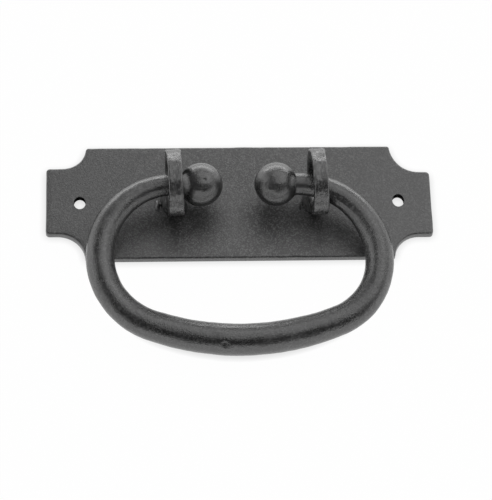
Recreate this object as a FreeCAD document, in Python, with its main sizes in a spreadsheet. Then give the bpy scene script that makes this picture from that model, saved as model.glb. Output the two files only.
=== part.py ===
"""Ring pull handle: a notched iron plate, two standing eyes and a ball-ended bail that swings in them.

The back of the plate lies in Z = 0 with its centre at the origin. X runs along the plate, Y towards its
upper edge and Z out of the door. The bail hangs towards -Y and rests on the surface that carries the plate.
"""
import FreeCAD
import Part
import Sketcher
import math
import os

# Driving dimensions, in millimetres, and one angle in degrees.
SIZES = {
    # Plate: outline, hand-cut corners, edges and screw holes.
    "plate_length": 150.0,
    "plate_height": 48.4,
    "plate_thickness": 3.0,
    "tab_length": 15.3,
    "cove_top_left": 9.0,
    "cove_top_right": 11.5,
    "cove_bottom_left": 10.9,
    "cove_bottom_right": 9.6,
    "tab_corner_radius": 1.4,
    "cove_corner_radius": 1.0,
    "plate_edge_radius": 0.8,
    "hole_edge_radius": 0.4,
    "screw_inset": 13.0,
    "screw_hole_diameter": 4.7,
    # Eyes: where they stand, the ring, and the shank that is riveted through the plate.
    "eye_spacing": 55.0,
    "eye_shift": 2.2,
    "eye_turn": 3.0,
    "eye_height": 19.4,
    "ring_diameter": 25.6,
    "ring_thickness": 6.0,
    "hole_play": 6.6,
    "ring_hole_rounding": 2.5,
    "ring_rim_hollow": 0.3,
    "ring_edge_radius": 0.5,
    "shank_base_diameter": 9.2,
    "shank_top_diameter": 5.6,
    "shank_top_depth": 3.0,
    "collar_diameter": 11.8,
    "collar_height": 1.2,
    "collar_edge_radius": 0.6,
    "tenon_diameter": 7.0,
    "tenon_clearance": 0.05,
    "peen_depth": 1.2,
    # Bail: its outline seen square on, its taper, and its ball ends.
    "bail_width": 106.2,
    "bail_reach": 61.0,
    "bow_radius": 100.0,
    "bend_past_left_eye": 0.6,
    "bend_before_right_eye": 7.9,
    "neck_diameter_left": 8.2,
    "neck_diameter_right": 8.6,
    "side_diameter": 10.9,
    "middle_diameter": 12.2,
    "neck_straight_left": 2.8,
    "neck_straight_right": 0.5,
    "ball_overlap": 1.5,
    "ball_fillet": 1.0,
    # How the loose bail lies in its eyes.
    "bail_slide": 3.0,
    "neck_gap": 1.4,
    "rest_gap": 0.1,
}

# Sizes that follow from others: what seats in, passes through or lines up with another piece.
FOLLOWING = {
    "long_edge_length": "plate_length - 2 * tab_length",
    "left_screw_x": "screw_inset - plate_length / 2",
    "right_screw_x": "plate_length / 2 - screw_inset",
    "left_eye_x": "eye_shift - eye_spacing / 2",
    "right_eye_x": "eye_shift + eye_spacing / 2",
    "tenon_hole_diameter": "tenon_diameter + 2 * tenon_clearance",
    "peen_diameter": "tenon_diameter + 2 * peen_depth",
    "collar_top": "plate_thickness + collar_height",
    "shank_top": "eye_height - ring_diameter / 2 + shank_top_depth",
    "ring_hole_diameter": "neck_diameter_right + hole_play",
    "rim_arc_radius": "((ring_thickness / 2)^2 + ring_rim_hollow^2) / (2 * ring_rim_hollow)",
    "rim_arc_height": "ring_diameter / 2 - ring_rim_hollow + rim_arc_radius",
    "neck_left_x": "eye_spacing / 2 - bail_slide + bend_past_left_eye",
    "neck_right_x": "eye_spacing / 2 + bail_slide - bend_before_right_eye",
    "bow_centre": "bow_radius - bail_reach",
    "ball_diameter": "ring_hole_diameter + ball_overlap",
    "bail_x": "eye_shift - bail_slide",
    "neck_height": "eye_height - hole_play / 2 + neck_gap",
    "bow_rise": "neck_height - middle_diameter / 2 - rest_gap",
}

doc = FreeCAD.newDocument("RingPullHandle")
sheet = doc.addObject("Spreadsheet::Sheet", "Sizes")
formulas = {alias: f"={expression}" for alias, expression in FOLLOWING.items()}
for row, (alias, content) in enumerate({**SIZES, **formulas}.items(), start=1):
    sheet.set(f"A{row}", alias)
    sheet.set(f"B{row}", str(content))
    sheet.setAlias(f"B{row}", alias)
doc.recompute()


def size(alias):
    return float(sheet.get(alias))


def half(alias):
    return size(alias) / 2


START, END, CENTRE = range(1, 4)
HORIZONTAL_AXIS, VERTICAL_AXIS = range(-1, -3, -1)
ORIGIN = (HORIZONTAL_AXIS, START)
NORMAL = FreeCAD.Vector(0, 0, 1)
CLOSE = 1e-4


def point(x, y):
    return FreeCAD.Vector(x, y, 0)


def line(start, end):
    return Part.LineSegment(point(*start), point(*end))


def arc(centre, radius, first_degrees, last_degrees):
    circle = Part.Circle(point(*centre), NORMAL, radius)
    return Part.ArcOfCircle(circle, math.radians(first_degrees), math.radians(last_degrees))


def origin_plane(body, role):
    return next(feature for feature in body.Origin.OriginFeatures if feature.Role == role)


def new_sketch(body, name, role, geometry):
    """A sketch on one of the body's own origin planes, holding the given outline."""
    sketch = body.newObject("Sketcher::SketchObject", name)
    sketch.AttachmentSupport = (origin_plane(body, role), "")
    sketch.MapMode = "FlatFace"
    sketch.addGeometry(geometry, False)
    return sketch


def relate(sketch, *relations):
    for relation in relations:
        sketch.addConstraint(Sketcher.Constraint(*relation))


def dimension(sketch, name, expression, kind, *places):
    """A named dimension whose value follows an expression on the sheet."""
    index = sketch.addConstraint(Sketcher.Constraint(kind, *places))
    sketch.renameConstraint(index, name)
    sketch.setExpression(f"Constraints.{name}", expression)


def close_chain(sketch, count):
    """Join each of the first edges end to start with the next, and the last with the first."""
    for index in range(count):
        relate(sketch, ("Coincident", index, END, (index + 1) % count, START))


def edge_names(shape, wanted):
    """Names of the edges of a shape that a test picks."""
    return [f"Edge{number}" for number, edge in enumerate(shape.Edges, start=1) if wanted(edge)]


def is_near(value, target):
    return abs(value - target) < CLOSE


def lies_at(edge, height):
    box = edge.BoundBox
    return is_near(box.ZMin, height) and is_near(box.ZMax, height)


def round_edges(body, name, base, wanted, expression):
    doc.recompute()
    fillet = body.newObject("PartDesign::Fillet", name)
    fillet.Base = (base, edge_names(base.Shape, wanted))
    fillet.setExpression("Radius", expression)
    return fillet


# Back plate: cut from flat iron, a rectangle whose four corners are hollowed by coves of slightly
# different radius. The front edges are softened, and the back stays flat on the door.
plate = doc.addObject("PartDesign::Body", "Plate")
plate.Label = "back_plate"

half_length = half("plate_length")
half_height = half("plate_height")
half_edge = half("long_edge_length")
thickness = size("plate_thickness")
top_left = size("cove_top_left")
top_right = size("cove_top_right")
bottom_left = size("cove_bottom_left")
bottom_right = size("cove_bottom_right")

tab_top_right = half_height - top_right
tab_bottom_right = bottom_right - half_height
tab_top_left = half_height - top_left
tab_bottom_left = bottom_left - half_height
TOP, COVE_TR, TAB_TR, END_R, TAB_BR, COVE_BR, BOTTOM, COVE_BL, TAB_BL, END_L, TAB_TL, COVE_TL = range(12)
outline = new_sketch(plate, "PlateOutline", "XY_Plane", [
    line((-half_edge, half_height), (half_edge, half_height)),
    arc((half_edge + top_right, half_height), top_right, 180, 270),
    line((half_edge + top_right, tab_top_right), (half_length, tab_top_right)),
    line((half_length, tab_top_right), (half_length, tab_bottom_right)),
    line((half_length, tab_bottom_right), (half_edge + bottom_right, tab_bottom_right)),
    arc((half_edge + bottom_right, -half_height), bottom_right, 90, 180),
    line((half_edge, -half_height), (-half_edge, -half_height)),
    arc((-half_edge - bottom_left, -half_height), bottom_left, 0, 90),
    line((-half_edge - bottom_left, tab_bottom_left), (-half_length, tab_bottom_left)),
    line((-half_length, tab_bottom_left), (-half_length, tab_top_left)),
    line((-half_length, tab_top_left), (-half_edge - top_left, tab_top_left)),
    arc((-half_edge - top_left, half_height), top_left, 270, 360),
])
relate(
    outline,
    ("Coincident", TOP, END, COVE_TR, START),
    ("Tangent", COVE_TR, END, TAB_TR, START),
    ("Coincident", TAB_TR, END, END_R, START),
    ("Coincident", END_R, END, TAB_BR, START),
    ("Tangent", TAB_BR, END, COVE_BR, START),
    ("Coincident", COVE_BR, END, BOTTOM, START),
    ("Coincident", BOTTOM, END, COVE_BL, START),
    ("Tangent", COVE_BL, END, TAB_BL, START),
    ("Coincident", TAB_BL, END, END_L, START),
    ("Coincident", END_L, END, TAB_TL, START),
    ("Tangent", TAB_TL, END, COVE_TL, START),
    ("Coincident", COVE_TL, END, TOP, START),
    ("PointOnObject", COVE_TR, CENTRE, TOP),
    ("PointOnObject", COVE_TL, CENTRE, TOP),
    ("PointOnObject", COVE_BR, CENTRE, BOTTOM),
    ("PointOnObject", COVE_BL, CENTRE, BOTTOM),
    ("Horizontal", BOTTOM),
    ("Horizontal", TAB_TR),
    ("Horizontal", TAB_BR),
    ("Horizontal", TAB_BL),
    ("Horizontal", TAB_TL),
    ("Vertical", END_R),
    ("Vertical", END_L),
    ("Symmetric", TOP, START, TOP, END, VERTICAL_AXIS),
    ("Symmetric", TOP, START, BOTTOM, END, HORIZONTAL_AXIS),
    ("Equal", TOP, BOTTOM),
)
dimension(outline, "LongEdge", "Sizes.long_edge_length", "DistanceX", TOP, START, TOP, END, 2 * half_edge)
dimension(outline, "HalfHeight", "Sizes.plate_height / 2", "DistanceY", *ORIGIN, TOP, START, half_height)
dimension(outline, "RightEnd", "Sizes.plate_length / 2", "DistanceX", *ORIGIN, END_R, START, half_length)
dimension(outline, "LeftEnd", "Sizes.plate_length / 2", "DistanceX", END_L, START, *ORIGIN, half_length)
dimension(outline, "CoveTopRight", "Sizes.cove_top_right", "Radius", COVE_TR, top_right)
dimension(outline, "CoveBottomRight", "Sizes.cove_bottom_right", "Radius", COVE_BR, bottom_right)
dimension(outline, "CoveBottomLeft", "Sizes.cove_bottom_left", "Radius", COVE_BL, bottom_left)
dimension(outline, "CoveTopLeft", "Sizes.cove_top_left", "Radius", COVE_TL, top_left)

blank = plate.newObject("PartDesign::Pad", "PlateBlank")
blank.Profile = outline
blank.setExpression("Length", "Sizes.plate_thickness")


def is_upright(edge):
    return is_near(edge.BoundBox.ZLength, thickness)


def is_tab_corner(edge):
    return is_upright(edge) and is_near(abs(edge.CenterOfMass.x), half_length)


def is_cove_corner(edge):
    return is_upright(edge) and is_near(abs(edge.CenterOfMass.x), half_edge)


tab_corners = round_edges(plate, "TabCorners", blank, is_tab_corner, "Sizes.tab_corner_radius")
cove_corners = round_edges(plate, "CoveCorners", tab_corners, is_cove_corner, "Sizes.cove_corner_radius")


def drill(name, base, diameter, places):
    """Round holes through the plate on its middle line, at the places along X that the sheet gives."""
    radius = half(diameter)
    holes = new_sketch(plate, f"{name}Sketch", "XY_Plane", [
        Part.Circle(point(size(place), 0), NORMAL, radius) for place in places
    ])
    for index, place in enumerate(places):
        relate(holes, ("PointOnObject", index, CENTRE, HORIZONTAL_AXIS))
        dimension(holes, f"Diameter{index}", f"Sizes.{diameter}", "Diameter", index, size(diameter))
        dimension(holes, f"Place{index}", f"Sizes.{place}", "DistanceX", *ORIGIN, index, CENTRE, size(place))
    pocket = plate.newObject("PartDesign::Pocket", name)
    pocket.Profile = holes
    pocket.Type = "ThroughAll"
    pocket.Reversed = True
    doc.recompute()
    drilled = base.Shape.Volume - pocket.Shape.Volume
    assert is_near(drilled, len(places) * math.pi * radius**2 * thickness), f"{name} cut {drilled} mm3"
    return pocket


screw_holes = drill("ScrewHoles", cove_corners, "screw_hole_diameter", ["left_screw_x", "right_screw_x"])
tenon_holes = drill("TenonHoles", screw_holes, "tenon_hole_diameter", ["left_eye_x", "right_eye_x"])


def is_round_rim(edge, diameter, height):
    round_edge = isinstance(edge.Curve, Part.Circle) and edge.isClosed()
    return round_edge and is_near(edge.Curve.Radius, half(diameter)) and lies_at(edge, height)


def is_countersunk(edge):
    return is_round_rim(edge, "tenon_hole_diameter", 0)


def is_screw_rim(edge):
    return is_round_rim(edge, "screw_hole_diameter", thickness)


def is_front_edge(edge):
    return lies_at(edge, thickness) and not edge.isClosed()


countersinks = plate.newObject("PartDesign::Chamfer", "Countersinks")
countersinks.Base = (tenon_holes, edge_names(tenon_holes.Shape, is_countersunk))
countersinks.setExpression("Size", "Sizes.peen_depth")
screw_rims = round_edges(plate, "ScrewRims", countersinks, is_screw_rim, "Sizes.hole_edge_radius")
front_edges = round_edges(plate, "FrontEdges", screw_rims, is_front_edge, "Sizes.plate_edge_radius")


def make_eye(label):
    """One forged eye: a ring on a tapering shank, a collar on the plate and a peened tenon through it."""
    eye = doc.addObject("PartDesign::Body", label.title().replace("_", ""))
    eye.Label = label
    height = size("eye_height")
    half_ring = half("ring_thickness")
    rounding = size("ring_hole_rounding")
    edge = size("ring_edge_radius")

    # Ring section above the hole: a slightly hollow rim, softened edges, flat sides and a well rounded hole.
    rim_arc = size("rim_arc_radius")
    rim_centre = height + size("rim_arc_height")
    edge_x = half_ring - edge
    edge_y = rim_centre - math.sqrt((rim_arc + edge)**2 - edge_x**2)
    edge_meeting = math.degrees(math.asin(edge_x / (rim_arc + edge)))
    bore = height + half("ring_hole_diameter")
    section = new_sketch(eye, f"{label}_ring_section", "XZ_Plane", [
        arc((0, rim_centre), rim_arc, 270 - edge_meeting, 270 + edge_meeting),
        arc((edge_x, edge_y), edge, 0, 90 + edge_meeting),
        line((half_ring, edge_y), (half_ring, bore + rounding)),
        arc((half_ring - rounding, bore + rounding), rounding, 270, 360),
        line((half_ring - rounding, bore), (rounding - half_ring, bore)),
        arc((rounding - half_ring, bore + rounding), rounding, 180, 270),
        line((-half_ring, bore + rounding), (-half_ring, edge_y)),
        arc((-edge_x, edge_y), edge, 90 - edge_meeting, 180),
    ])
    RIM, EDGE_R, SIDE_R, ROUND_R, BORE, ROUND_L, SIDE_L, EDGE_L, AXIS = range(9)
    section.addGeometry(line((rounding - half_ring, height), (half_ring - rounding, height)), True)
    relate(
        section,
        ("Tangent", RIM, END, EDGE_R, END),
        ("Tangent", EDGE_R, START, SIDE_R, START),
        ("Tangent", SIDE_R, END, ROUND_R, END),
        ("Tangent", ROUND_R, START, BORE, START),
        ("Tangent", BORE, END, ROUND_L, END),
        ("Tangent", ROUND_L, START, SIDE_L, START),
        ("Tangent", SIDE_L, END, EDGE_L, END),
        ("Tangent", EDGE_L, START, RIM, START),
        ("Vertical", SIDE_R),
        ("Vertical", SIDE_L),
        ("Horizontal", BORE),
        ("Equal", ROUND_R, ROUND_L),
        ("Equal", EDGE_R, EDGE_L),
        ("PointOnObject", RIM, CENTRE, VERTICAL_AXIS),
        ("Symmetric", AXIS, START, AXIS, END, VERTICAL_AXIS),
        ("Equal", AXIS, BORE),
    )
    dimension(section, "Height", "Sizes.eye_height", "DistanceY", *ORIGIN, AXIS, START, height)
    dimension(section, "RimArc", "Sizes.rim_arc_radius", "Radius", RIM, rim_arc)
    dimension(section, "RimCentre", "Sizes.rim_arc_height", "DistanceY", AXIS, START, RIM, CENTRE,
              size("rim_arc_height"))
    dimension(section, "EdgeRadius", "Sizes.ring_edge_radius", "Radius", EDGE_R, edge)
    dimension(section, "RightSide", "Sizes.ring_thickness / 2", "DistanceX", *ORIGIN, SIDE_R, START,
              half_ring)
    dimension(section, "LeftSide", "Sizes.ring_thickness / 2", "DistanceX", SIDE_L, END, *ORIGIN, half_ring)
    dimension(section, "Rounding", "Sizes.ring_hole_rounding", "Radius", ROUND_R, rounding)
    dimension(section, "Bore", "Sizes.ring_hole_diameter / 2", "DistanceY", AXIS, START, BORE, END,
              half("ring_hole_diameter"))
    ring = eye.newObject("PartDesign::Revolution", f"{label}_ring")
    ring.Profile = section
    ring.ReferenceAxis = (section, ["Axis0"])
    ring.Angle = 360

    # Half section of everything below the ring, from the flush peened head up to the shank's top.
    peen_radius = half("peen_diameter")
    peen_depth = size("peen_depth")
    tenon_radius = half("tenon_diameter")
    collar_radius = half("collar_diameter")
    collar_top = size("collar_top")
    base_radius = half("shank_base_diameter")
    top_radius = half("shank_top_diameter")
    top = size("shank_top")
    corners = [
        (0, 0),
        (peen_radius, 0),
        (tenon_radius, peen_depth),
        (tenon_radius, thickness),
        (collar_radius, thickness),
        (collar_radius, collar_top),
        (base_radius, collar_top),
        (top_radius, top),
        (0, top),
    ]
    half_section = new_sketch(eye, f"{label}_shank_section", "XZ_Plane", [
        line(start, end) for start, end in zip(corners, corners[1:] + corners[:1])
    ])
    PEEN, PEEN_CONE, TENON, SEAT, COLLAR, COLLAR_TOP, SHANK, SHANK_TOP, MIDLINE = range(9)
    close_chain(half_section, len(corners))
    relate(
        half_section,
        ("Coincident", PEEN, START, *ORIGIN),
        ("Horizontal", PEEN),
        ("Vertical", TENON),
        ("Horizontal", SEAT),
        ("Vertical", COLLAR),
        ("Horizontal", COLLAR_TOP),
        ("Horizontal", SHANK_TOP),
        ("Vertical", MIDLINE),
    )
    for name, expression, kind, edge, value in [
        ("PeenRadius", "Sizes.peen_diameter / 2", "DistanceX", PEEN, peen_radius),
        ("PeenDepth", "Sizes.peen_depth", "DistanceY", PEEN_CONE, peen_depth),
        ("TenonRadius", "Sizes.tenon_diameter / 2", "DistanceX", PEEN_CONE, tenon_radius),
        ("SeatHeight", "Sizes.plate_thickness", "DistanceY", TENON, thickness),
        ("CollarRadius", "Sizes.collar_diameter / 2", "DistanceX", SEAT, collar_radius),
        ("CollarTop", "Sizes.collar_top", "DistanceY", COLLAR, collar_top),
        ("BaseRadius", "Sizes.shank_base_diameter / 2", "DistanceX", COLLAR_TOP, base_radius),
        ("TopRadius", "Sizes.shank_top_diameter / 2", "DistanceX", SHANK, top_radius),
        ("TopHeight", "Sizes.shank_top", "DistanceY", SHANK, top),
    ]:
        dimension(half_section, name, expression, kind, *ORIGIN, edge, END, value)
    shank = eye.newObject("PartDesign::Revolution", f"{label}_shank")
    shank.Profile = half_section
    shank.ReferenceAxis = (half_section, ["V_Axis"])
    shank.Angle = 360

    def is_collar_edge(edge):
        return is_round_rim(edge, "collar_diameter", collar_top)

    round_edges(eye, f"{label}_collar_edge", shank, is_collar_edge, "Sizes.collar_edge_radius")
    turn = "rotation(vector(0; 0; 1); Sizes.eye_turn)"
    eye.setExpression("Placement", f"placement(vector(Sizes.{label}_x; 0; 0); {turn})")
    return eye


left_eye = make_eye("left_eye")
right_eye = make_eye("right_eye")

# Bail: drawn flat in its own XY plane, with the pivot line on X and the loop towards -Y. The bow is one
# round bar, thickest at the middle of its pull and drawn down to the necks, bent in five tangent arcs.
bail = doc.addObject("PartDesign::Body", "Bail")
bail.Label = "bail"

half_width = half("bail_width")
reach = size("bail_reach")
bow_radius = size("bow_radius")
neck_left = size("neck_left_x")
neck_right = size("neck_right_x")
shoulder_left = half_width - neck_left
shoulder_right = half_width - neck_right


def corner_radius(shoulder):
    """Radius of the arc that leaves the widest point square to the pivot line and runs on into the bow."""
    rise = shoulder - reach + bow_radius
    return (bow_radius**2 - half_width**2 - rise**2) / (2 * (bow_radius - half_width))


def bow_half_angle(corner):
    """Angle from the middle of the bow to the point where a corner arc takes over, in degrees."""
    return math.degrees(math.asin((half_width - corner) / (bow_radius - corner)))


corner_left = corner_radius(shoulder_left)
corner_right = corner_radius(shoulder_right)
meeting_left = 270 - bow_half_angle(corner_left)
meeting_right = 270 + bow_half_angle(corner_right)
SHOULDER_L, CORNER_L, BOW, CORNER_R, SHOULDER_R = range(5)
path = new_sketch(bail, "BailPath", "XY_Plane", [
    arc((-neck_left, -shoulder_left), shoulder_left, 90, 180),
    arc((corner_left - half_width, -shoulder_left), corner_left, 180, meeting_left),
    arc((0, size("bow_centre")), bow_radius, meeting_left, meeting_right),
    arc((half_width - corner_right, -shoulder_right), corner_right, meeting_right, 360),
    arc((neck_right, -shoulder_right), shoulder_right, 0, 90),
])
relate(
    path,
    ("Tangent", SHOULDER_L, END, CORNER_L, START),
    ("Tangent", CORNER_L, END, BOW, START),
    ("Tangent", BOW, END, CORNER_R, START),
    ("Tangent", CORNER_R, END, SHOULDER_R, START),
    ("PointOnObject", SHOULDER_L, START, HORIZONTAL_AXIS),
    ("PointOnObject", SHOULDER_R, END, HORIZONTAL_AXIS),
    ("Vertical", SHOULDER_L, START, SHOULDER_L, CENTRE),
    ("Vertical", SHOULDER_R, END, SHOULDER_R, CENTRE),
    ("Horizontal", SHOULDER_L, END, SHOULDER_L, CENTRE),
    ("Horizontal", SHOULDER_R, START, SHOULDER_R, CENTRE),
    ("PointOnObject", BOW, CENTRE, VERTICAL_AXIS),
)
dimension(path, "LeftNeck", "Sizes.neck_left_x", "DistanceX", SHOULDER_L, START, *ORIGIN, neck_left)
dimension(path, "RightNeck", "Sizes.neck_right_x", "DistanceX", *ORIGIN, SHOULDER_R, END, neck_right)
dimension(path, "LeftSide", "Sizes.bail_width / 2", "DistanceX", SHOULDER_L, END, *ORIGIN, half_width)
dimension(path, "RightSide", "Sizes.bail_width / 2", "DistanceX", *ORIGIN, SHOULDER_R, START, half_width)
dimension(path, "Bow", "Sizes.bow_radius", "Radius", BOW, bow_radius)
dimension(path, "BowCentre", "Sizes.bow_centre", "DistanceY", *ORIGIN, BOW, CENTRE, size("bow_centre"))


def bar_section(name, role, offset, diameter_alias, across, across_expression):
    """A round section of the bar, square to the path, on a plane at an offset from an origin plane."""
    diameter = size(diameter_alias)
    section = new_sketch(bail, name, role, [Part.Circle(point(across, 0), NORMAL, diameter / 2)])
    section.setExpression("AttachmentOffset.Base.z", offset)
    relate(section, ("PointOnObject", 0, CENTRE, HORIZONTAL_AXIS))
    dimension(section, "Diameter", f"Sizes.{diameter_alias}", "Diameter", 0, diameter)
    dimension(section, "Across", across_expression, "DistanceX", *ORIGIN, 0, CENTRE, across)
    return section


HALF_WIDTH = "Sizes.bail_width / 2"
first_section = bar_section("LeftNeckSection", "YZ_Plane", "-Sizes.neck_left_x", "neck_diameter_left",
                            0, "0")
later_sections = [
    bar_section("LeftSideSection", "XZ_Plane", f"{HALF_WIDTH} - Sizes.neck_left_x", "side_diameter",
                -half_width, f"-{HALF_WIDTH}"),
    bar_section("MiddleSection", "YZ_Plane", "0", "middle_diameter", -reach, "-Sizes.bail_reach"),
    bar_section("RightSideSection", "XZ_Plane", f"{HALF_WIDTH} - Sizes.neck_right_x", "side_diameter",
                half_width, HALF_WIDTH),
    bar_section("RightNeckSection", "YZ_Plane", "Sizes.neck_right_x", "neck_diameter_right", 0, "0"),
]
bow = bail.newObject("PartDesign::AdditivePipe", "Bow")
bow.Profile = first_section
bow.Spine = path
bow.Transformation = "Multisection"
bow.Sections = later_sections


def ball_end(side, towards):
    """A straight neck that runs from the bend through an eye to a ball, turned about the pivot line.

    towards is 1 on the right and -1 on the left, and the ball lies between the neck and the bail's middle.
    """
    neck_x = size(f"neck_{side}_x")
    neck_radius = half(f"neck_diameter_{side}")
    straight = size(f"neck_straight_{side}")
    fillet = size("ball_fillet")
    ball_radius = half("ball_diameter")
    fillet_x = neck_x - straight
    ball_x = fillet_x - math.sqrt((ball_radius + fillet)**2 - (neck_radius + fillet)**2)
    meeting = math.degrees(math.asin((neck_radius + fillet) / (ball_radius + fillet)))

    def turned(first_degrees, last_degrees):
        """The same arc on the left is seen in a mirror, which swaps its ends."""
        on_left = (180 - last_degrees, 180 - first_degrees)
        return (first_degrees, last_degrees) if towards > 0 else on_left

    half_section = new_sketch(bail, f"{side}_end_section", "XY_Plane", [
        line((towards * neck_x, 0), (towards * neck_x, neck_radius)),
        line((towards * neck_x, neck_radius), (towards * fillet_x, neck_radius)),
        arc((towards * fillet_x, neck_radius + fillet), fillet, *turned(180 + meeting, 270)),
        arc((towards * ball_x, 0), ball_radius, *turned(meeting, 180)),
        line((towards * (ball_x - ball_radius), 0), (towards * neck_x, 0)),
    ])
    FACE, NECK, FILLET, BALL, MIDLINE = range(5)
    before, after = (START, END) if towards > 0 else (END, START)
    relate(
        half_section,
        ("Coincident", FACE, END, NECK, START),
        ("Tangent", NECK, END, FILLET, after),
        ("Tangent", FILLET, before, BALL, before),
        ("Coincident", BALL, after, MIDLINE, START),
        ("Coincident", MIDLINE, END, FACE, START),
        ("Vertical", FACE),
        ("Horizontal", NECK),
        ("PointOnObject", FACE, START, HORIZONTAL_AXIS),
        ("PointOnObject", MIDLINE, START, HORIZONTAL_AXIS),
        ("PointOnObject", BALL, CENTRE, HORIZONTAL_AXIS),
    )
    outward = (*ORIGIN, FACE, START) if towards > 0 else (FACE, START, *ORIGIN)
    inward = (NECK, END, NECK, START) if towards > 0 else (NECK, START, NECK, END)
    dimension(half_section, "NeckPlace", f"Sizes.neck_{side}_x", "DistanceX", *outward, neck_x)
    dimension(half_section, "NeckStraight", f"Sizes.neck_straight_{side}", "DistanceX", *inward, straight)
    dimension(half_section, "NeckRadius", f"Sizes.neck_diameter_{side} / 2", "DistanceY", *ORIGIN, FACE, END,
              neck_radius)
    dimension(half_section, "Fillet", "Sizes.ball_fillet", "Radius", FILLET, fillet)
    dimension(half_section, "Ball", "Sizes.ball_diameter / 2", "Radius", BALL, ball_radius)
    end = bail.newObject("PartDesign::Revolution", f"{side}_end")
    end.Profile = half_section
    end.ReferenceAxis = (half_section, ["H_Axis"])
    end.Angle = 360


ball_end("left", -1)
ball_end("right", 1)

# The necks lie low in their eyes, and the bow has dropped until it rests on the surface behind the plate.
bail.setExpression(
    "Placement",
    "placement(vector(Sizes.bail_x; 0; Sizes.neck_height); "
    "rotation(vector(1; 0; 0); asin(Sizes.bow_rise / Sizes.bail_reach)))",
)
doc.recompute()

for item in doc.Objects:
    assert not {"Invalid", "Error"} & set(item.State), f"{item.Name}: {item.State}"

os.makedirs("parts", exist_ok=True)
for body in (plate, left_eye, right_eye, bail):
    shape = body.Shape
    assert not shape.isNull() and shape.isValid() and len(shape.Solids) == 1, body.Label
    shape.exportStep(f"parts/{body.Label}.step")
    print(f"{body.Label}: {shape.Volume:.1f} mm3")
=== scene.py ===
import bpy
import math
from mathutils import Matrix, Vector


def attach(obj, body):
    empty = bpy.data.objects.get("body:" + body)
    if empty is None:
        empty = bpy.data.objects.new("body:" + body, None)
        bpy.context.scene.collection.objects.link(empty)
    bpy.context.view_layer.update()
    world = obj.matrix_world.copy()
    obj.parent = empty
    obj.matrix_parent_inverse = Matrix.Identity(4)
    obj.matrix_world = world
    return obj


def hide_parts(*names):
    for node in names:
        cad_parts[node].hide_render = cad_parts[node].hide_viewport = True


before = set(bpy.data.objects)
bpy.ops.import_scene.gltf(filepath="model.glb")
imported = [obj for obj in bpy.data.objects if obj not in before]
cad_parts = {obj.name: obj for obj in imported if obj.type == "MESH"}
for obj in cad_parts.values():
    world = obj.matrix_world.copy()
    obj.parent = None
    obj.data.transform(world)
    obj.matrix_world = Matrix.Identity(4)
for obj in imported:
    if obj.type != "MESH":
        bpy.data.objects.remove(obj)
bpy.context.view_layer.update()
bpy.ops.object.select_all(action="DESELECT")

# Back plate: flat iron bar sawn to length, with a cove cut out of each corner by hand, so no two are alike.
# The front edges are filed round and the back is left square. Two plain holes take wood screws, and two
# more, countersunk at the back, take the tenons of the eyes.
MM = 0.001
plate_length, plate_height, plate_thickness = 150.0 * MM, 48.4 * MM, 3.0 * MM
tab_length = 15.3 * MM
coves = {"top right": 11.5 * MM, "bottom right": 9.6 * MM, "bottom left": 10.9 * MM, "top left": 9.0 * MM}
tab_corner, cove_corner, filed_edge = 1.4 * MM, 1.0 * MM, 0.8 * MM
screw_x, screw_hole, screw_oval = 62.0 * MM, 4.7 * MM, 1.16
eye_x = {"left": -25.3 * MM, "right": 29.7 * MM}
tenon_hole, peen_depth = 7.1 * MM, 1.2 * MM
cove_steps, corner_steps, hole_steps = 14, 4, 48
same_point, sharp_edge = 0.01 * MM, math.radians(35)

half_length, half_height = plate_length / 2, plate_height / 2
half_edge = half_length - tab_length


def start_outline(x, y):
    """A single point to draw an outline from."""
    bpy.ops.mesh.primitive_plane_add(size=MM)
    bpy.ops.object.mode_set(mode="EDIT")
    bpy.ops.mesh.merge(type="CENTER")
    bpy.ops.transform.translate(value=(x, y, 0))
    return bpy.context.object


def draw_line(dx, dy):
    bpy.ops.mesh.extrude_vertices_move(TRANSFORM_OT_translate={"value": (dx, dy, 0)})


def draw_cove(centre_x, centre_y):
    bpy.ops.mesh.spin(steps=cove_steps, angle=-math.pi / 2, center=(centre_x, centre_y, 0), axis=(0, 0, 1))


def select_points(piece, wanted):
    """In edit mode, selects the points of a piece whose place passes a test."""
    bpy.ops.mesh.select_all(action="DESELECT")
    bpy.ops.mesh.select_mode(type="VERT")
    bpy.ops.object.mode_set(mode="OBJECT")
    for vertex in piece.data.vertices:
        vertex.select = wanted(vertex.co)
    bpy.ops.object.mode_set(mode="EDIT")


def near(value, target):
    return abs(value - target) < same_point


plate = start_outline(-half_edge, half_height)
plate.name = "plate_piece"
draw_line(2 * half_edge, 0)
draw_cove(half_edge + coves["top right"], half_height)
draw_line(tab_length - coves["top right"], 0)
draw_line(0, coves["top right"] + coves["bottom right"] - plate_height)
draw_line(coves["bottom right"] - tab_length, 0)
draw_cove(half_edge + coves["bottom right"], -half_height)
draw_line(-2 * half_edge, 0)
draw_cove(-half_edge - coves["bottom left"], -half_height)
draw_line(coves["bottom left"] - tab_length, 0)
draw_line(0, plate_height - coves["bottom left"] - coves["top left"])
draw_line(tab_length - coves["top left"], 0)
draw_cove(-half_edge - coves["top left"], half_height)
bpy.ops.mesh.select_all(action="SELECT")
bpy.ops.mesh.remove_doubles(threshold=same_point)
bpy.ops.mesh.edge_face_add()
select_points(plate, lambda co: near(abs(co.x), half_length))
bpy.ops.mesh.bevel(offset=tab_corner, segments=corner_steps, affect="VERTICES")
select_points(plate, lambda co: near(abs(co.x), half_edge) and near(abs(co.y), half_height))
bpy.ops.mesh.bevel(offset=cove_corner, segments=corner_steps, affect="VERTICES")
bpy.ops.mesh.select_all(action="SELECT")
bpy.ops.mesh.extrude_region_move(TRANSFORM_OT_translate={"value": (0, 0, plate_thickness)})
bpy.ops.mesh.select_all(action="SELECT")
bpy.ops.mesh.normals_make_consistent(inside=False)
select_points(plate, lambda co: near(co.z, plate_thickness))
bpy.ops.mesh.bevel(offset=filed_edge, segments=corner_steps, affect="EDGES")
bpy.ops.object.mode_set(mode="OBJECT")


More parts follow.
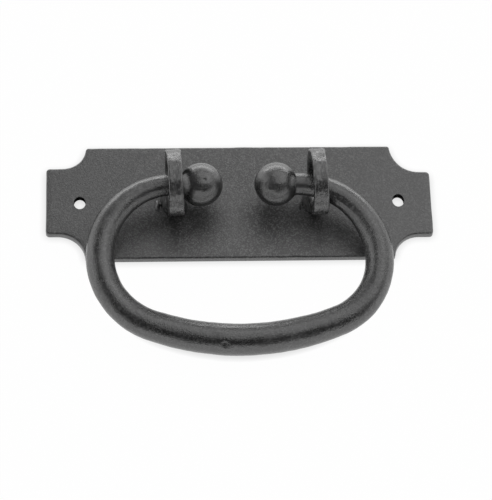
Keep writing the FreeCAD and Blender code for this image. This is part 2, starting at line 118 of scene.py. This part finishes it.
def apply_modifiers(piece):
    bpy.context.view_layer.objects.active = piece
    for modifier in list(piece.modifiers):
        bpy.ops.object.modifier_apply(modifier=modifier.name)


def work_with(piece, tool, operation):
    """Cuts the form of a tool out of a piece, or welds it on, and puts the tool away."""
    step = piece.modifiers.new(tool.name, "BOOLEAN")
    step.object = tool
    step.operation = operation
    step.solver = "EXACT"
    apply_modifiers(piece)
    bpy.data.objects.remove(tool)


def drill(piece, x, diameter, oval=1):
    right_through = 4 * plate_thickness
    bpy.ops.mesh.primitive_cylinder_add(
        vertices=hole_steps, radius=diameter / 2, depth=right_through, location=(x, 0, 0),
        scale=(1, oval, 1))
    work_with(piece, bpy.context.object, "DIFFERENCE")


def countersink(piece, x):
    """Opens the back of a tenon hole to a cone, with a cutter that starts below the plate."""
    cutter_length = 3 * peen_depth
    bpy.ops.mesh.primitive_cone_add(
        vertices=hole_steps, radius1=tenon_hole / 2 + 2 * peen_depth, radius2=tenon_hole / 2 - peen_depth,
        depth=cutter_length, location=(x, 0, cutter_length / 2 - peen_depth))
    work_with(piece, bpy.context.object, "DIFFERENCE")


for end in (-1, 1):
    drill(plate, end * screw_x, screw_hole, screw_oval)
for x in eye_x.values():
    drill(plate, x, tenon_hole)
    countersink(plate, x)
bpy.context.view_layer.objects.active = plate
bpy.ops.object.mode_set(mode="EDIT")

# The plate is never dead flat: it is cut across and along into small fields, which rise and fall a little.
field = 3.0 * MM
plate_waves = {"wavelength": 14.0 * MM, "depth": 0.14 * MM}
plate_filing = {"wavelength": 5.0 * MM, "depth": 0.22 * MM}
for step in range(1, round(plate_length / field)):
    bpy.ops.mesh.select_all(action="SELECT")
    bpy.ops.mesh.bisect(plane_co=(step * field - half_length, 0, 0), plane_no=(1, 0, 0))
for step in range(1, round(plate_height / field)):
    bpy.ops.mesh.select_all(action="SELECT")
    bpy.ops.mesh.bisect(plane_co=(0, step * field - half_height, 0), plane_no=(0, 1, 0))
bpy.ops.mesh.select_all(action="SELECT")
bpy.ops.mesh.remove_doubles(threshold=same_point)
bpy.ops.object.mode_set(mode="OBJECT")


def make_uneven(piece, name, wavelength, depth, direction="NORMAL", group=""):
    """Leaves the traces of the hammer and the file: soft rises and hollows of one wavelength and depth."""
    relief = bpy.data.textures.new(name, "CLOUDS")
    relief.noise_scale = wavelength
    relief.noise_depth = 1
    relief.cloud_type = "COLOR" if direction == "RGB_TO_XYZ" else "GRAYSCALE"
    hammer = piece.modifiers.new(name, "DISPLACE")
    hammer.texture = relief
    hammer.texture_coords = "LOCAL"
    hammer.direction = direction
    hammer.mid_level = 0.5
    hammer.strength = depth
    hammer.vertex_group = group
    apply_modifiers(piece)


def group_above(piece, name, height):
    """Names the points of a piece that lie above a height."""
    group = piece.vertex_groups.new(name=name)
    group.add([vertex.index for vertex in piece.data.vertices if vertex.co.z > height], 1.0, "REPLACE")


group_above(plate, "front", plate_thickness / 2)
make_uneven(plate, "plate_waves", **plate_waves, direction="Z", group="front")
make_uneven(plate, "plate_filing", **plate_filing, direction="RGB_TO_XYZ", group="front")
plate.select_set(True)
bpy.ops.object.shade_smooth_by_angle(angle=sharp_edge)


def feed(tree, socket, value):
    """Gives a socket a plain number, or joins it to the output of another node."""
    if isinstance(value, (int, float)):
        socket.default_value = value
    else:
        tree.links.new(value, socket)


def combine(tree, operation, first, second):
    pair = tree.nodes.new("ShaderNodeMath")
    pair.operation = operation
    feed(tree, pair.inputs[0], first)
    feed(tree, pair.inputs[1], second)
    return pair.outputs["Value"]


def mix(tree, share, first, second):
    """Goes over from the first value to the second as a share grows from 0 to 1."""
    blend = tree.nodes.new("ShaderNodeMix")
    feed(tree, blend.inputs["Factor"], share)
    feed(tree, blend.inputs["A"], first)
    feed(tree, blend.inputs["B"], second)
    return blend.outputs["Result"]


def spread(tree, value, start, end, low, high, easing="LINEAR"):
    """Turns a value that runs from start to end into one that runs from low to high."""
    reach = tree.nodes.new("ShaderNodeMapRange")
    reach.interpolation_type = easing
    reach.inputs["From Min"].default_value = start
    reach.inputs["From Max"].default_value = end
    reach.inputs["To Min"].default_value = low
    reach.inputs["To Max"].default_value = high
    tree.links.new(value, reach.inputs["Value"])
    return reach.outputs["Result"]


def measure(tree, operation, place, other=(0, 0, 0)):
    """Works a place and a fixed second one into a new place, or into a distance."""
    rule = tree.nodes.new("ShaderNodeVectorMath")
    rule.operation = operation
    tree.links.new(place, rule.inputs[0])
    rule.inputs[1].default_value = other
    return rule.outputs


def noise(tree, place, scale, detail):
    pattern = tree.nodes.new("ShaderNodeTexNoise")
    pattern.inputs["Scale"].default_value = scale
    pattern.inputs["Detail"].default_value = detail
    tree.links.new(place, pattern.inputs["Vector"])
    return pattern.outputs["Fac"]


def iron_coat(name, tone, grain, speck, depth, gloss, coarse=(1.0, 0.5), drawn=(1, 1, 1)):
    """Black powder coat on iron: near black and satin, and gritty like fine sand, with faint clouds in it.

    Some of the grit is up to speck times as light as the tone: partly its own colour, partly painted glints.
    It stands out by the first share in coarse at the middle of the handle, and by the second far from it.
    Drawn makes it finer or longer on each axis.
    """
    coat_ior, cloud_scale, cloud_change, gloss_change = 2.0, 90, 0.2, 0.05
    grain_tone, plain_grains = 0.1, 0.45
    middle, close_by, far_off = (0, -12 * MM, 0), 20 * MM, 60 * MM
    noise_low, noise_high = 0.3, 0.7
    mean_grain = plain_grains * grain_tone + (1 - plain_grains) * (grain_tone + speck) / 2

    coat = bpy.data.materials.new(name)
    coat.use_nodes = True
    tree = coat.node_tree
    skin = tree.nodes["Principled BSDF"]
    skin.inputs["IOR"].default_value = coat_ior
    place = tree.nodes.new("ShaderNodeTexCoord").outputs["Object"]

    sand = tree.nodes.new("ShaderNodeTexVoronoi")
    sand.inputs["Scale"].default_value = 1 / grain
    tree.links.new(measure(tree, "MULTIPLY", place, drawn)["Vector"], sand.inputs["Vector"])
    chance = tree.nodes.new("ShaderNodeSeparateColor")
    tree.links.new(sand.outputs["Color"], chance.inputs["Color"])
    # The light cells are partly the grit's own colour and partly painted glints of the grit.
    grit_and_glints = spread(tree, chance.outputs["Red"], plain_grains, 1.0, grain_tone, speck)
    from_middle = measure(tree, "DISTANCE", place, middle)["Value"]
    # The painted glints stand out more or less with the distance from the middle of the handle.
    grains_and_glints = mix(tree, spread(tree, from_middle, close_by, far_off, *coarse), mean_grain, grit_and_glints)

    clouds = noise(tree, place, cloud_scale, detail=4)
    lightest, darkest = tone * (1 + cloud_change), tone * (1 - cloud_change)
    shade = combine(tree, "MULTIPLY", spread(tree, clouds, noise_low, noise_high, darkest, lightest), grains_and_glints)
    tint = tree.nodes.new("ShaderNodeCombineColor")
    for channel in ("Red", "Green", "Blue"):
        tree.links.new(shade, tint.inputs[channel])
    tree.links.new(tint.outputs["Color"], skin.inputs["Base Color"])
    satin = spread(tree, clouds, noise_low, noise_high, gloss - gloss_change, gloss + gloss_change)
    tree.links.new(satin, skin.inputs["Roughness"])

    relief = tree.nodes.new("ShaderNodeBump")
    relief.inputs["Strength"].default_value = 1.0
    relief.inputs["Distance"].default_value = depth
    tree.links.new(noise(tree, place, 1 / grain, detail=2), relief.inputs["Height"])
    tree.links.new(relief.outputs["Normal"], skin.inputs["Normal"])
    return coat


plate_coat = iron_coat(
    "plate_powder_coat", tone=0.012, grain=0.45 * MM, speck=9.0, depth=0.14 * MM, gloss=0.34)
plate.data.materials.append(plate_coat)
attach(plate, "plate")
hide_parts("back_plate")

# Eyes: each forged from one piece of iron, a flat ring on a short tapering shank, set on the plate by a
# collar and a tenon that is hammered over into the countersink behind. The rim is hollow and pitted, the
# crown is beaten narrow and flat, and a bead of iron was squeezed out beside the foot.
eye_height, ring_diameter, ring_thickness = 19.4 * MM, 25.6 * MM, 6.1 * MM
ring_hole, hole_rounding, rim_hollow, rim_edge = 15.2 * MM, 2.5 * MM, 0.3 * MM, 0.7 * MM
ring_taper, ring_taper_width = 1.5 * MM, 0.88
ring_steps, rounding_steps, hollow_steps, rim_steps = 96, 8, 6, 3
tenon_play, collar = 0.1 * MM, 5.6 * MM
eye_turn = math.radians(3.0)
skin_step, foot_edge = 0.24 * MM, 0.3 * MM
eye_blows = {"wavelength": 3.5 * MM, "depth": 0.25 * MM}
eye_pits = {"wavelength": 0.9 * MM, "depth": 0.1 * MM}

# Radius and height of the shank, from the hammered head at the back of the plate up into the ring.
tenon = tenon_hole / 2 - tenon_play
shank_rings = [
    (tenon + peen_depth, 0.0), (tenon, peen_depth), (tenon, plate_thickness), (collar, plate_thickness),
    (5.5 * MM, 3.5 * MM), (5.2 * MM, 4.0 * MM), (4.9 * MM, 4.8 * MM), (4.4 * MM, 6.0 * MM),
    (3.6 * MM, 7.6 * MM), (2.9 * MM, 9.8 * MM),
]

# Place and half sizes of each bead, and y, z, width and depth of the flat on each crown, in millimetres.
beads = {"left": ((-6.7, -1.3, 3.4), (0.9, 2.2, 1.0)), "right": ((-6.4, -1.3, 3.2), (0.5, 2.4, 0.5))}
crown_place, crown_width, crown_depth = (4.8, 31.3), 9.0, {"left": 0.3, "right": 0.5}


def forge_ring():
    """The ring, as a square section above the hole that is softened at its corners and carried round."""
    wall = (ring_diameter - ring_hole) / 2
    top = eye_height + ring_diameter / 2
    bpy.ops.mesh.primitive_plane_add(size=1, rotation=(math.pi / 2, 0, 0))
    ring = bpy.context.object
    ring.scale = (ring_thickness, wall, 1)
    ring.location = (0, 0, eye_height + ring_hole / 2 + wall / 2)
    bpy.ops.object.transform_apply()
    bpy.ops.object.mode_set(mode="EDIT")
    select_points(ring, lambda co: co.z < top - wall / 2)
    bpy.ops.mesh.bevel(offset=hole_rounding, segments=rounding_steps, affect="VERTICES")
    select_points(ring, lambda co: near(co.z, top))
    bpy.ops.mesh.subdivide(number_cuts=1)
    select_points(ring, lambda co: near(co.z, top) and near(co.x, 0))
    bpy.ops.transform.translate(value=(0, 0, -rim_hollow))
    bpy.ops.mesh.bevel(offset=ring_thickness / 3, segments=hollow_steps, affect="VERTICES")
    select_points(ring, lambda co: near(co.z, top))
    bpy.ops.mesh.bevel(offset=rim_edge, segments=rim_steps, affect="VERTICES")
    bpy.ops.mesh.select_all(action="SELECT")
    bpy.ops.mesh.delete(type="ONLY_FACE")
    bpy.ops.mesh.select_all(action="SELECT")
    bpy.ops.mesh.spin(steps=ring_steps, angle=2 * math.pi, center=(0, 0, eye_height), axis=(1, 0, 0))
    bpy.ops.mesh.select_all(action="SELECT")
    bpy.ops.mesh.remove_doubles(threshold=same_point)
    bpy.ops.mesh.normals_make_consistent(inside=False)
    select_points(ring, lambda co: co.z > top - ring_taper)
    bpy.ops.transform.resize(
        value=(ring_taper_width, 1, 1), center_override=(0, 0, top), use_proportional_edit=True,
        proportional_edit_falloff="SMOOTH", proportional_size=ring_diameter / 2)
    bpy.ops.object.mode_set(mode="OBJECT")
    return ring


def forge_shank():
    """Everything below the ring, drawn up from the hammered head at the back of the plate."""
    (radius, height), *later = shank_rings
    bpy.ops.mesh.primitive_circle_add(vertices=hole_steps, radius=radius, fill_type="NGON")
    shank = bpy.context.object
    bpy.ops.object.mode_set(mode="EDIT")
    bpy.ops.mesh.select_all(action="SELECT")
    for wider, higher in later:
        bpy.ops.mesh.extrude_region_move(TRANSFORM_OT_translate={"value": (0, 0, higher - height)})
        growth = wider / radius
        bpy.ops.transform.resize(value=(growth, growth, 1), center_override=(0, 0, higher))
        radius, height = wider, higher
    bpy.ops.mesh.select_all(action="SELECT")
    bpy.ops.mesh.normals_make_consistent(inside=False)
    bpy.ops.object.mode_set(mode="OBJECT")
    return shank


def squeeze_out(place, half_sizes):
    bpy.ops.mesh.primitive_uv_sphere_add(radius=MM, location=Vector(place) * MM, scale=half_sizes)
    return bpy.context.object


def pick_up(piece):
    bpy.ops.object.select_all(action="DESELECT")
    piece.select_set(True)
    bpy.context.view_layer.objects.active = piece


def set_in_place(piece, place, turn):
    """Puts a piece where it belongs, with its object left at the origin."""
    piece.location = place
    piece.rotation_euler = turn
    pick_up(piece)
    bpy.ops.object.transform_apply()


def strike(piece, place, across, depth):
    """One blow or pit: pushes the skin in at the point nearest to a place, and less and less around it."""
    struck = min(piece.data.vertices, key=lambda vertex: (vertex.co - Vector(place) * MM).length)
    spot, push = struck.co.copy(), struck.normal * -depth * MM
    bpy.ops.object.mode_set(mode="EDIT")
    select_points(piece, lambda co: co == spot)
    bpy.ops.transform.translate(
        value=push, use_proportional_edit=True, proportional_edit_falloff="SMOOTH",
        proportional_size=across * MM / 2)
    bpy.ops.object.mode_set(mode="OBJECT")


forging = forge_ring()
work_with(forging, forge_shank(), "UNION")
eye_coat = iron_coat(
    "eye_powder_coat", tone=0.014, grain=0.45 * MM, speck=8.0, depth=0.1 * MM, gloss=0.28,
    drawn=(1.2, 0.35, 0.35))
for side, x in eye_x.items():
    pick_up(forging)
    bpy.ops.object.duplicate()
    eye = bpy.context.object
    eye.name = f"{side}_eye_piece"
    work_with(eye, squeeze_out(*beads[side]), "UNION")
    skin = eye.modifiers.new("forged skin", "REMESH")
    skin.mode = "VOXEL"
    skin.voxel_size = skin_step
    soften = eye.modifiers.new("soften", "SMOOTH")
    soften.factor = 0.5
    soften.iterations = 3
    apply_modifiers(eye)
    set_in_place(eye, (x, 0, 0), (0, 0, eye_turn))
    strike(eye, (x / MM, *crown_place), crown_width, crown_depth[side])
    group_above(eye, "above the plate", plate_thickness + foot_edge)
    make_uneven(eye, f"{side}_eye_blows", **eye_blows, group="above the plate")
    make_uneven(eye, f"{side}_eye_pits", **eye_pits, group="above the plate")
    bpy.ops.object.shade_smooth()
    eye.data.materials.append(eye_coat)
    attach(eye, "plate")
    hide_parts(f"{side}_eye")
bpy.data.objects.remove(forging)

# Bail: one round iron bar, drawn down from the middle of the pull to a neck at each end, bent hot in easy
# arcs and threaded through the eyes. Its ends are hammered into balls, so it can't come out again, and the
# hammer has left a few flats and pits on it, and a dent.
bail_width, bail_reach, bow_radius = 106.2 * MM, 61.0 * MM, 100.0 * MM
neck_left, neck_right = 25.1 * MM, 22.6 * MM
straight_left, straight_right = 2.8 * MM, 0.5 * MM
neck_bar_left, side_bar, middle_bar, neck_bar_right = 8.2 * MM, 10.9 * MM, 12.2 * MM, 8.6 * MM
ball_diameter, ball_fillet, ball_tip = 16.7 * MM, 1.0 * MM, math.radians(4)
bail_x, neck_height, rest_gap = -0.8 * MM, 17.5 * MM, 0.1 * MM
bar_steps, ball_steps, fillet_steps, fewest_rings = 64, 26, 3, 6
ring_pitch, same_ring = 1.2 * MM, 0.002 * MM
bail_blows = {"wavelength": 7.0 * MM, "depth": 0.25 * MM}
bail_scale = {"wavelength": 1.6 * MM, "depth": 0.09 * MM}

# Place, width and depth of each mark, in millimetres. The first on each ball is a flat, the others are pits.
left_ball_marks = [
    ((-15.6, -7.0, 22.0), 6.0, 0.3), ((-14.1, -2.0, 25.5), 2.0, 0.5), ((-16.4, -4.4, 24.5), 2.2, 0.15),
    ((-14.9, -5.1, 24.1), 1.8, 0.15), ((-13.4, -4.4, 24.4), 2.0, 0.12),
]
right_ball_marks = [
    ((10.6, -6.8, 21.3), 6.0, 0.3), ((9.5, -3.8, 23.7), 2.0, 0.12), ((11.0, -4.8, 23.8), 2.2, 0.15),
    ((12.9, -4.6, 24.4), 1.8, 0.15),
]
bow_dent = [((-6.8, -64.0, 10.5), 4.4, 0.35), ((-7.8, -63.2, 11.2), 3.0, 0.25)]
right_arm_pits = [
    ((33.7, -6.0, 20.0), 2.6, 0.3), ((36.1, -6.7, 20.4), 2.6, 0.35), ((38.0, -7.9, 20.2), 2.8, 0.4),
    ((39.7, -9.3, 20.0), 2.6, 0.35), ((41.9, -11.0, 19.9), 2.4, 0.25),
]

half_width = bail_width / 2
bow_centre = bow_radius - bail_reach
hang = math.asin((neck_height - middle_bar / 2 - rest_gap) / bail_reach)


class Bar:
    """The end of the bar as it is drawn out: a ring of points that is copied on, moved, turned and sized."""

    def __init__(self, x, radius):
        bpy.ops.mesh.primitive_circle_add(
            vertices=bar_steps, radius=radius, fill_type="NGON", location=(x, 0, 0),
            rotation=(0, math.pi / 2, 0))
        self.piece = bpy.context.object
        bpy.ops.object.transform_apply()
        bpy.ops.object.mode_set(mode="EDIT")
        bpy.ops.mesh.select_all(action="SELECT")
        self.x, self.y, self.radius = x, 0, radius

    def resize(self, radius):
        growth = radius / self.radius
        bpy.ops.transform.resize(value=(growth, growth, growth), center_override=(self.x, self.y, 0))
        self.radius = radius

    def draw_out(self, x, radius):
        bpy.ops.mesh.extrude_region_move(TRANSFORM_OT_translate={"value": (x - self.x, 0, 0)})
        self.x = x
        self.resize(radius)

    def bend(self, centre_x, centre_y, angle, radius):
        bpy.ops.mesh.extrude_region_move(TRANSFORM_OT_translate={"value": (0, 0, 0)})
        bpy.ops.transform.rotate(value=-angle, orient_axis="Z", center_override=(centre_x, centre_y, 0))
        dx, dy = self.x - centre_x, self.y - centre_y
        self.x = centre_x + dx * math.cos(angle) - dy * math.sin(angle)
        self.y = centre_y + dx * math.sin(angle) + dy * math.cos(angle)
        self.resize(radius)


def ball_rings(neck_x, straight, neck_bar):
    """Places and radii from the tip of a ball back to its neck, measured outwards from the bail's middle."""
    ball, neck = ball_diameter / 2, neck_bar / 2
    fillet_x = neck_x - straight
    ball_x = fillet_x - math.sqrt((ball + ball_fillet)**2 - (neck + ball_fillet)**2)
    meeting = math.asin((neck + ball_fillet) / (ball + ball_fillet))
    rings = []
    for step in range(ball_steps + 1):
        angle = ball_tip + (math.pi - meeting - ball_tip) * step / ball_steps
        rings.append((ball_x - ball * math.cos(angle), ball * math.sin(angle)))
    for step in range(1, fillet_steps + 1):
        angle = meeting + (math.pi / 2 - meeting) * step / fillet_steps
        rings.append((fillet_x - ball_fillet * math.cos(angle), neck + ball_fillet * (1 - math.sin(angle))))
    return rings


def corner_radius(shoulder):
    """The radius of the arc that runs smoothly from a shoulder into the bow."""
    rise = shoulder + bow_centre
    return (bow_radius**2 - half_width**2 - rise**2) / (2 * (bow_radius - half_width))


def swell(share, start, end):
    """The thickness of the bar at a share of the way between two thicknesses, with no step at either."""
    return start + (end - start) * (3 - 2 * share) * share**2


left_rings = ball_rings(neck_left, straight_left, neck_bar_left)
right_rings = ball_rings(neck_right, straight_right, neck_bar_right)
tip_x, tip_radius = left_rings[0]
bar = Bar(-tip_x, tip_radius)
bail = bar.piece
bail.name = "bail_piece"
for x, radius in left_rings[1:]:
    bar.draw_out(-x, radius)
bar.draw_out(-neck_left, neck_bar_left / 2)

# Four stretches of the bar, each from one thickness to another, with centre, radius and angle of its arcs.
shoulder_left, shoulder_right = half_width - neck_left, half_width - neck_right
corner_left, corner_right = corner_radius(shoulder_left), corner_radius(shoulder_right)
open_left = math.asin((half_width - corner_left) / (bow_radius - corner_left))
open_right = math.asin((half_width - corner_right) / (bow_radius - corner_right))
quarter = math.pi / 2
stretches = [
    (neck_bar_left, side_bar, [(-neck_left, -shoulder_left, shoulder_left, quarter)]),
    (side_bar, middle_bar, [
        (corner_left - half_width, -shoulder_left, corner_left, quarter - open_left),
        (0, bow_centre, bow_radius, open_left)]),
    (middle_bar, side_bar, [
        (0, bow_centre, bow_radius, open_right),
        (half_width - corner_right, -shoulder_right, corner_right, quarter - open_right)]),
    (side_bar, neck_bar_right, [(neck_right, -shoulder_right, shoulder_right, quarter)]),
]
for start, end, arcs in stretches:
    length = sum(radius * angle for x, y, radius, angle in arcs)
    done = 0
    for x, y, radius, angle in arcs:
        run = radius * angle
        steps = max(fewest_rings, round(run / ring_pitch))
        for step in range(1, steps + 1):
            share = (done + run * step / steps) / length
            bar.bend(x, y, angle / steps, swell(share, start, end) / 2)
        done += run
for x, radius in reversed(right_rings):
    bar.draw_out(x, radius)
bpy.ops.mesh.select_all(action="SELECT")
bpy.ops.mesh.remove_doubles(threshold=same_ring)
bpy.ops.mesh.normals_make_consistent(inside=False)
bpy.ops.object.mode_set(mode="OBJECT")
round_off = bail.modifiers.new("round off", "SUBSURF")
round_off.levels = 1
round_off.render_levels = 1
apply_modifiers(bail)
set_in_place(bail, (bail_x, 0, neck_height), (hang, 0, 0))
make_uneven(bail, "bail_blows", **bail_blows)
make_uneven(bail, "bail_scale", **bail_scale)
for place, across, depth in left_ball_marks + right_ball_marks + bow_dent + right_arm_pits:
    strike(bail, place, across, depth)
bpy.ops.object.shade_smooth()
bail_coat = iron_coat(
    "bail_powder_coat", tone=0.0065, grain=0.55 * MM, speck=12.0, depth=0.12 * MM, gloss=0.27,
    coarse=(0.2, 0.65))
bail.data.materials.append(bail_coat)
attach(bail, "bail")
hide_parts("bail")

# Table: a plain white sheet. To the eye and in the gloss of the iron it is nearly pure white, and it still
# takes the handle's soft shadow. No light gets in under the plate, so the walls of the screw holes look
# black.
table_size, paper_white, paper_roughness, paper_glow = 8.0, (0.93, 0.93, 0.93, 1), 0.9, 0.985
fade_start, fade_end, far_glow = 0.6, 1.5, 0.1
contact_reach, contact_closed, contact_shade = 3.0 * MM, 0.3, 0.72

bpy.ops.mesh.primitive_plane_add(size=table_size)
table = bpy.context.object
table.name = "table"
paper = bpy.data.materials.new("white_paper")
paper.use_nodes = True
sheet = paper.node_tree
matt = sheet.nodes["Principled BSDF"]
matt.inputs["Base Color"].default_value = paper_white
matt.inputs["Roughness"].default_value = paper_roughness
rays = sheet.nodes.new("ShaderNodeLightPath").outputs
seen = combine(sheet, "MAXIMUM", rays["Is Camera Ray"], rays["Is Glossy Ray"])
seen_or_through = combine(sheet, "MAXIMUM", seen, rays["Is Transmission Ray"])

place = sheet.nodes.new("ShaderNodeTexCoord").outputs["Object"]
away = measure(sheet, "DISTANCE", place)["Value"]
fade = spread(sheet, away, fade_start, fade_end, 1.0, far_glow, "SMOOTHSTEP")
aside = sheet.nodes.new("ShaderNodeSeparateXYZ")
sheet.links.new(measure(sheet, "ABSOLUTE", place)["Vector"], aside.inputs["Vector"])
under_length = combine(sheet, "LESS_THAN", aside.outputs["X"], half_length)
under_tab = combine(sheet, "LESS_THAN", aside.outputs["Y"], half_height - max(coves.values()))
in_gloss = combine(sheet, "SUBTRACT", fade, combine(sheet, "MULTIPLY", under_length, under_tab))
contact = sheet.nodes.new("ShaderNodeAmbientOcclusion")
contact.inputs["Distance"].default_value = contact_reach
shadow = spread(sheet, contact.outputs["AO"], contact_closed, 1.0, contact_shade, 1.0)

glow = sheet.nodes.new("ShaderNodeEmission")
sheet.links.new(mix(sheet, rays["Is Camera Ray"], in_gloss, shadow), glow.inputs["Strength"])
surface = sheet.nodes.new("ShaderNodeMixShader")
sheet.links.new(combine(sheet, "MULTIPLY", seen_or_through, paper_glow), surface.inputs["Fac"])
sheet.links.new(matt.outputs["BSDF"], surface.inputs[1])
sheet.links.new(glow.outputs["Emission"], surface.inputs[2])
sheet.links.new(surface.outputs["Shader"], sheet.nodes["Material Output"].inputs["Surface"])
table.data.materials.append(paper)

# Light: a tent of white cloth around the table. Its walls shine at the left and right, behind, and low in
# front, and high in front it is open to a dark room. Three lamps with flat white screens hang above and
# behind.
room_dark = 0.06
tent = bpy.data.worlds.new("white_tent")
bpy.context.scene.world = tent
tent.use_nodes = True
cloth = tent.node_tree
heading = cloth.nodes.new("ShaderNodeSeparateXYZ")
cloth.links.new(cloth.nodes.new("ShaderNodeTexCoord").outputs["Generated"], heading.inputs["Vector"])
to_right, to_back, upwards = (heading.outputs[axis] for axis in "XYZ")


def wall(towards, start, end, brightness):
    """A wall of the tent: from the dark of the room to its own brightness between two headings."""
    return spread(cloth, towards, start, end, room_dark, brightness, "SMOOTHSTEP")


left_wall = wall(to_right, -0.4, -1.0, brightness=1.3)
right_wall = wall(to_right, 0.2, 0.7, brightness=0.75)
back_wall = wall(to_back, 0.3, 0.7, brightness=0.5)
front_wall = wall(upwards, 0.48, 0.1, brightness=1.25)
less_in_front = spread(cloth, to_back, -0.5, 0.1, 0.2, 1.0, "SMOOTHSTEP")
side_walls = combine(cloth, "MULTIPLY", combine(cloth, "MAXIMUM", left_wall, right_wall), less_in_front)
walls = combine(cloth, "MAXIMUM", side_walls, combine(cloth, "MAXIMUM", back_wall, front_wall))
cloth.links.new(walls, cloth.nodes["Background"].inputs["Strength"])
cloth.nodes["Background"].inputs["Color"].default_value = (1, 1, 1, 1)


def hang_lamp(name, x, elevation, distance, width, depth, brightness):
    """A lamp with a flat screen, turned to the handle and as bright as a white wall times its brightness."""
    turn = math.radians(elevation)
    bpy.ops.object.light_add(
        type="AREA", location=(x, distance * math.cos(turn), distance * math.sin(turn)),
        rotation=(turn - math.pi / 2, 0, 0))
    lamp = bpy.context.object
    lamp.name = name
    lamp.data.shape = "RECTANGLE"
    lamp.data.size, lamp.data.size_y = width, depth
    lamp.data.energy = brightness * math.pi * width * depth


hang_lamp("lamp_above", x=0.35, elevation=63, distance=1.1, width=1.3, depth=0.6, brightness=0.87)
hang_lamp("lamp_behind", x=0.0, elevation=10, distance=1.1, width=1.8, depth=0.36, brightness=2.3)
hang_lamp("lamp_over", x=0.15, elevation=98, distance=0.4, width=0.46, depth=0.23, brightness=0.84)

# Camera: in front and well above, as one looks down at the handle on a table, and through a long lens.
camera_place = (-0.03772, -0.39821, 0.78132)
camera_turn = [math.radians(degrees) for degrees in (25.9025, -2.1376, -1.6155)]
bpy.ops.object.camera_add(location=camera_place, rotation=camera_turn)
camera = bpy.context.object
camera.data.lens = 161.96
camera.data.sensor_width = 36.0
bpy.context.scene.camera = camera
bpy.context.scene.view_settings.view_transform = "Standard"
